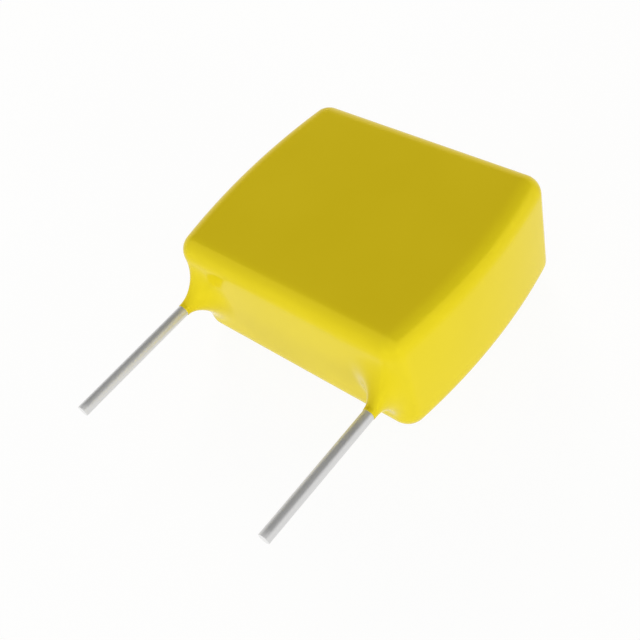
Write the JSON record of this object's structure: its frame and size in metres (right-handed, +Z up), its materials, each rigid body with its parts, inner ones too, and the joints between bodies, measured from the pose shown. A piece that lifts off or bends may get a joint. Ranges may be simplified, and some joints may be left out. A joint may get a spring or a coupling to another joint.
{
  "type": "ceramic capacitor",
  "caption": "Dipped radial multilayer ceramic capacitor: rounded yellow epoxy slab with bowed sides and two straight wire leads, each in a flared meniscus.",
  "frame": {"origin": "centre of the large flat face of the coating that the part lies on", "axes": "+Z up through the thickness, +X along the lead pitch, leads point along -Y"},
  "size_m": [0.0124, 0.0174, 0.0055],
  "materials": {
    "yellow_epoxy": "glossy dipped epoxy",
    "fired_ceramic": "matt, as fired",
    "electrode_nickel": "dull metal film",
    "cap_silver": "dull fired metal",
    "solder": "satin solder",
    "tinned_wire": "satin drawn tin plate"
  },
  "bodies": {
    "root": {"epoxy_coating": "yellow_epoxy", "ceramic_chip": "fired_ceramic", "electrode_plates_left": "electrode_nickel", "electrode_plates_right": "electrode_nickel", "end_cap_left": "cap_silver", "end_cap_right": "cap_silver", "solder_left": "solder", "solder_right": "solder", "lead_left": "tinned_wire", "lead_right": "tinned_wire"}
  },
  "joints": []
}
